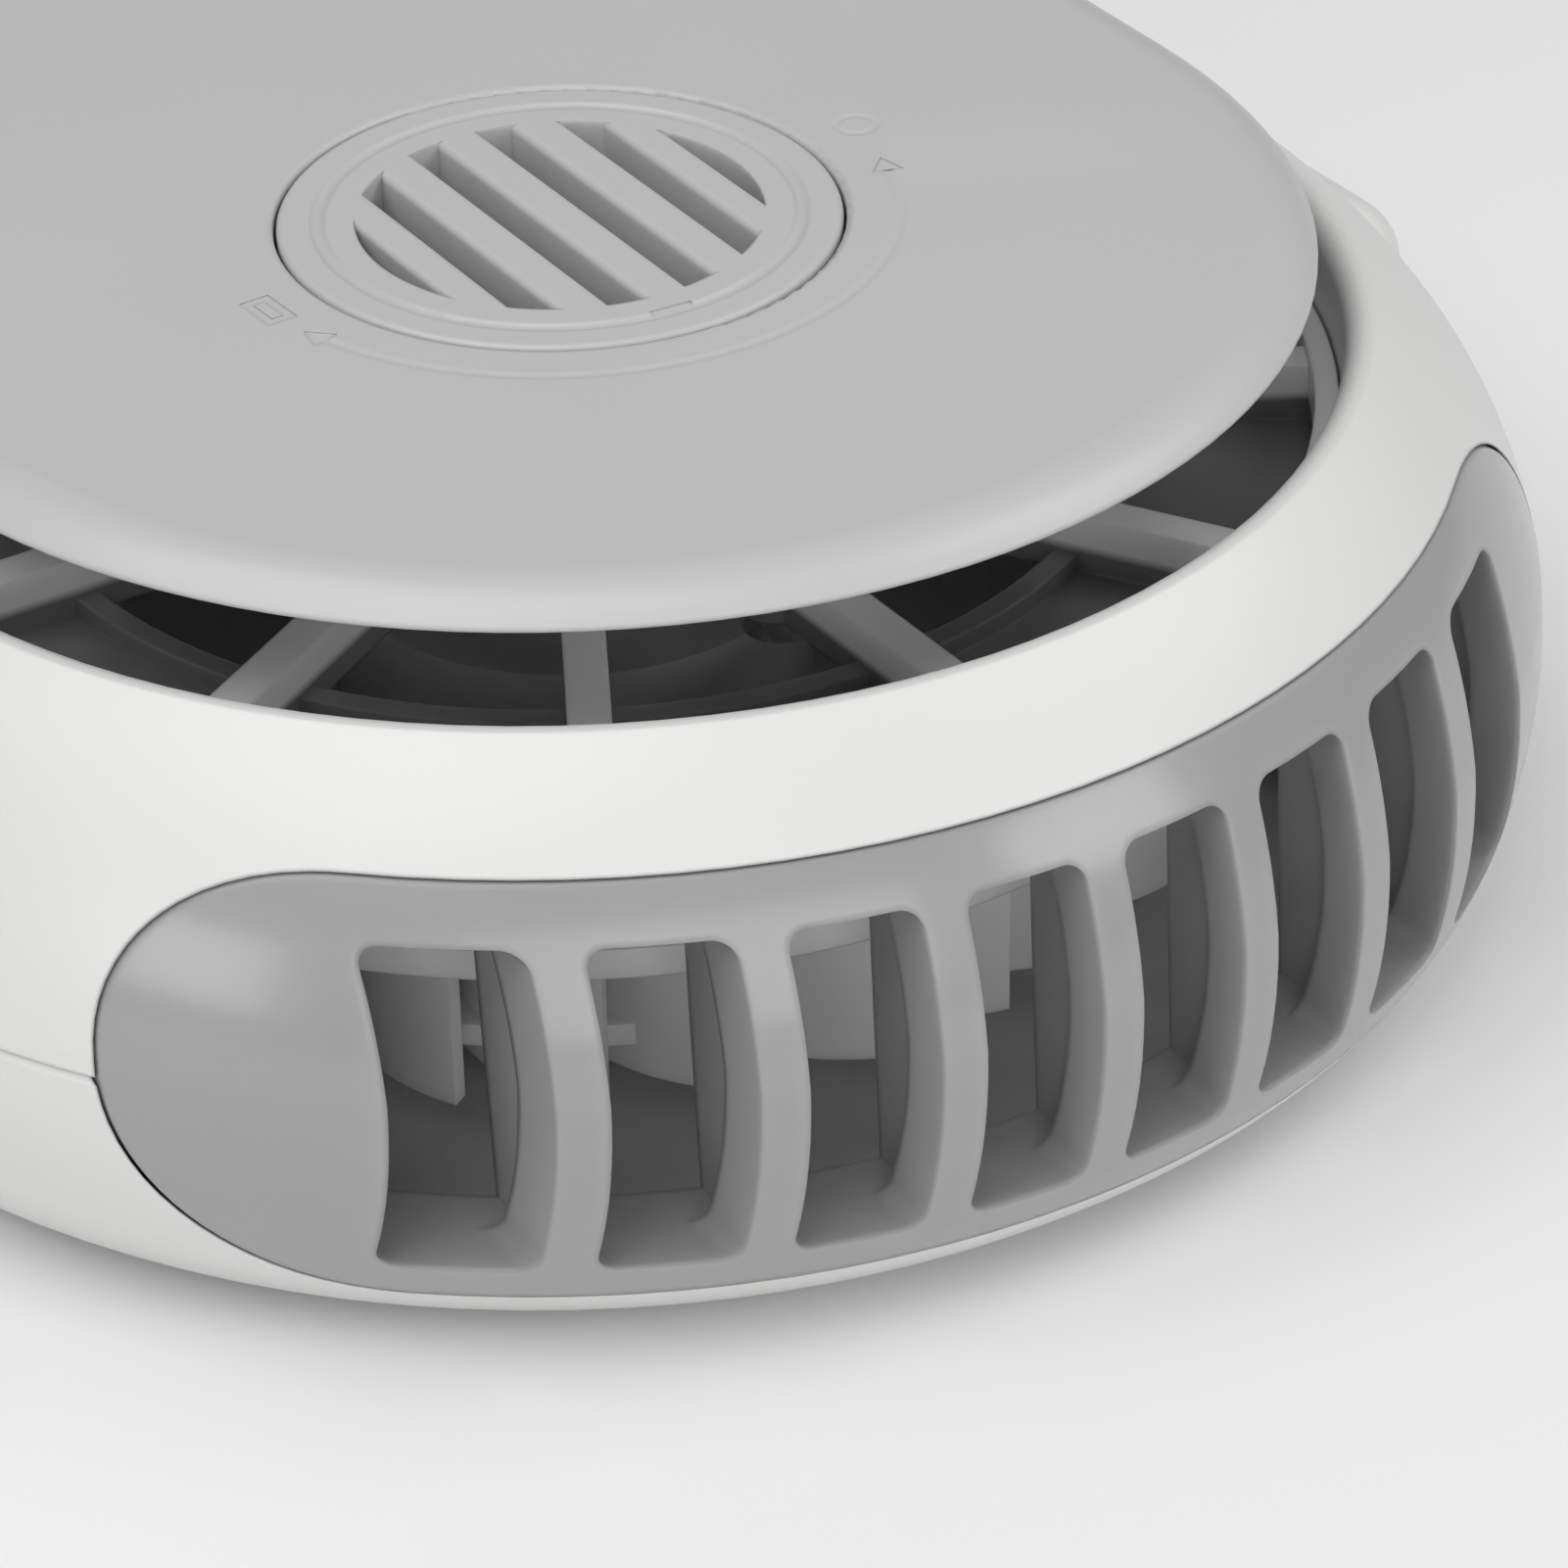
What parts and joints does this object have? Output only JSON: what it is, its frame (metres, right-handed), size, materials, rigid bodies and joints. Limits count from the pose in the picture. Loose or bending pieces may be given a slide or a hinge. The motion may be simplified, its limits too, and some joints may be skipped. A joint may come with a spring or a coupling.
{
  "type": "electric neck fan",
  "caption": "Pendant neck fan with round ends: a centrifugal blower draws air in round a flat cover and out of a vaned front; twist-off vent cap, top button, cord eyes and charging socket.",
  "frame": {"origin": "centre of the flat back, on the face the fan lies on", "axes": "+Z from the flat back to the cover, -Y the way the outlet blows, +Y towards the charging socket"},
  "size_m": [0.0988, 0.1348, 0.035],
  "materials": {
    "shell_white": "satin",
    "cover_grey": "satin",
    "grille_grey": "satin",
    "frame_grey": "satin",
    "liner_white": "matt",
    "impeller_grey": "satin",
    "steel": "satin",
    "dark_steel": "satin",
    "ferrite": "matt",
    "copper": "gloss",
    "alloy": "satin",
    "cell_sleeve": "gloss",
    "foam": "matt",
    "lead_red": "satin",
    "lead_black": "satin",
    "board_green": "satin",
    "chip_black": "matt",
    "led_white": "gloss",
    "guide_clear": "gloss",
    "felt": "matt"
  },
  "bodies": {
    "housing": {"rear_shell": "shell_white", "front_shell": "shell_white", "outlet_grille": "grille_grey", "front_cover": "cover_grey", "intake_frame": "frame_grey", "scent_pad": "felt", "scroll_liner": "liner_white", "bearings": "steel", "stator_core": "dark_steel", "stator_coils": "copper", "motor_base": "alloy", "motor_screws": "dark_steel", "battery_cell": "cell_sleeve", "battery_tabs": "steel", "battery_pads": "foam", "battery_leads": "lead_red", "motor_leads": "lead_black", "circuit_board": "board_green", "board_chips": "chip_black", "indicator_leds": "led_white", "light_guide": "guide_clear", "tact_switch": "chip_black", "usb_socket": "steel", "board_screws": "dark_steel", "cover_screws": "dark_steel", "shell_screws": "dark_steel", "lanyard_lugs": "shell_white"},
    "rotor": {"impeller": "impeller_grey", "rotor_can": "steel", "rotor_magnet": "ferrite", "motor_shaft": "steel", "shaft_clip": "dark_steel"},
    "cap": {"vent_cap": "cover_grey"},
    "button": {"power_button": "cover_grey", "switch_plunger": "chip_black"}
  },
  "joints": [
    {"name": "impeller_spin", "type": "hinge", "parent": "housing", "child": "rotor", "pos_m": [0, -0.018, 0.01], "axis": [0, 0, 1], "continuous": true},
    {"name": "cap_twist", "type": "hinge", "parent": "housing", "child": "cap", "pos_m": [0, -0.018, 0.0335], "axis": [0, 0, 1], "range_deg": [-75, 75]},
    {"name": "button_press", "type": "slide", "parent": "housing", "child": "button", "axis": [0, 0, -1], "range_m": [0, 0.00035], "stiffness_N_per_m": 2000, "springref_m": -0.0004}
  ]
}
